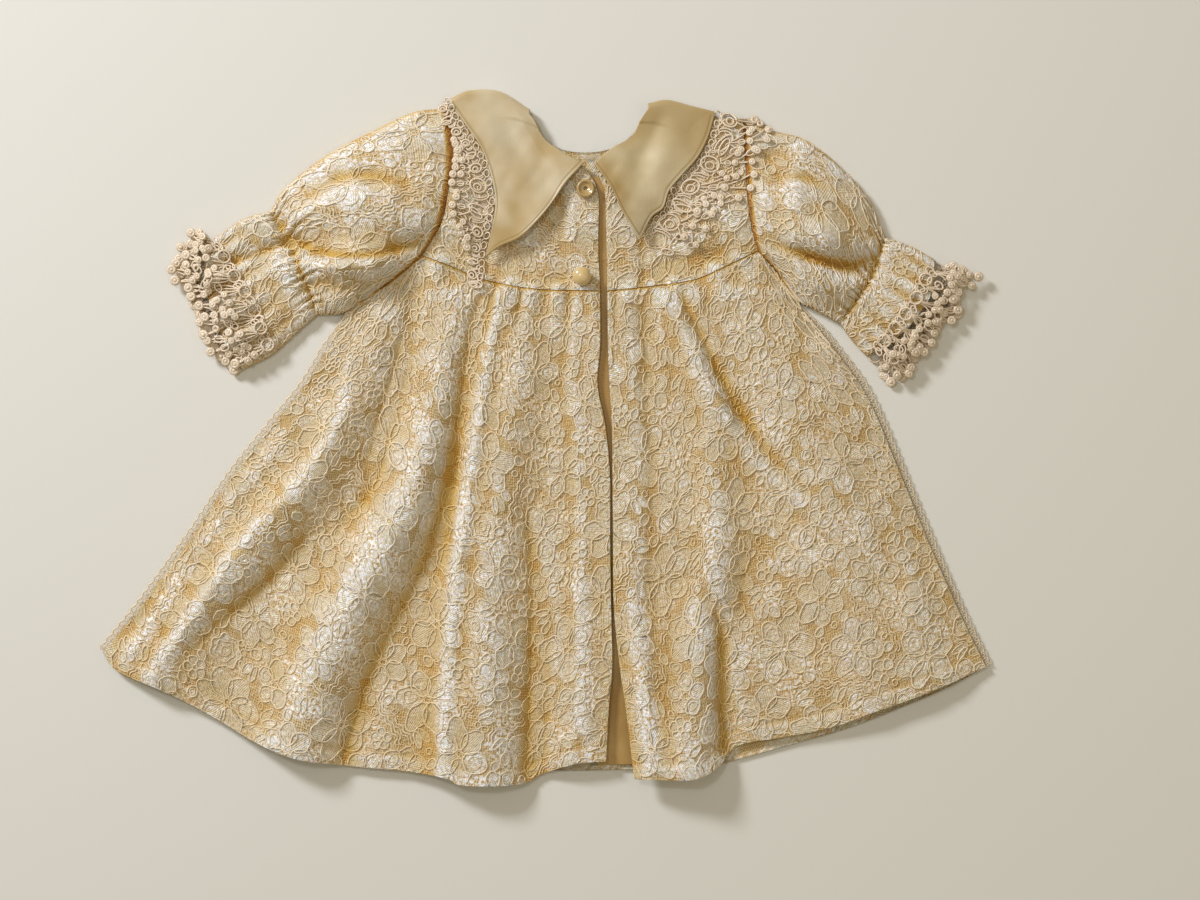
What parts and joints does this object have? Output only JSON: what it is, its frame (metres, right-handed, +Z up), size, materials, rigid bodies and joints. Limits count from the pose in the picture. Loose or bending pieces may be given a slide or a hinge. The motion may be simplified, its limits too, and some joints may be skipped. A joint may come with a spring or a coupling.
{
  "type": "baby dress",
  "caption": "Baby dress laid flat, front up: gathered lace skirt, buttoned yoke, puffed sleeves with lace cuffs and a pointed satin collar edged with guipure.",
  "frame": {"origin": "on the surface that the dress lies on, under the middle of its outline", "axes": "+Z up from that surface, out of the dress's front; +Y towards the collar; +X to the right of someone who looks at the front, along the widest part"},
  "size_m": [0.4772, 0.3747, 0.0175],
  "materials": {
    "lace_cloth": "corded floral lace over satin",
    "satin": "smooth satin",
    "lining_satin": "smooth satin",
    "guipure": "corded guipure lace",
    "pearl": "pearl",
    "button_shell": "polished"
  },
  "bodies": {
    "root": {"back_skirt": "lace_cloth", "back_yoke": "lace_cloth", "front_skirt_left": "lace_cloth", "front_skirt_right": "lace_cloth", "front_yoke_left": "lace_cloth", "front_yoke_right": "lace_cloth", "front_facing": "lining_satin", "sleeve_left": "lace_cloth", "sleeve_right": "lace_cloth", "collar_left": "satin", "collar_right": "satin", "collar_lace_left": "guipure", "collar_lace_right": "guipure", "cuff_lace_left_front": "guipure", "cuff_lace_left_back": "guipure", "cuff_lace_right_front": "guipure", "cuff_lace_right_back": "guipure", "pearl_button": "pearl", "ring_button": "button_shell"}
  },
  "joints": []
}
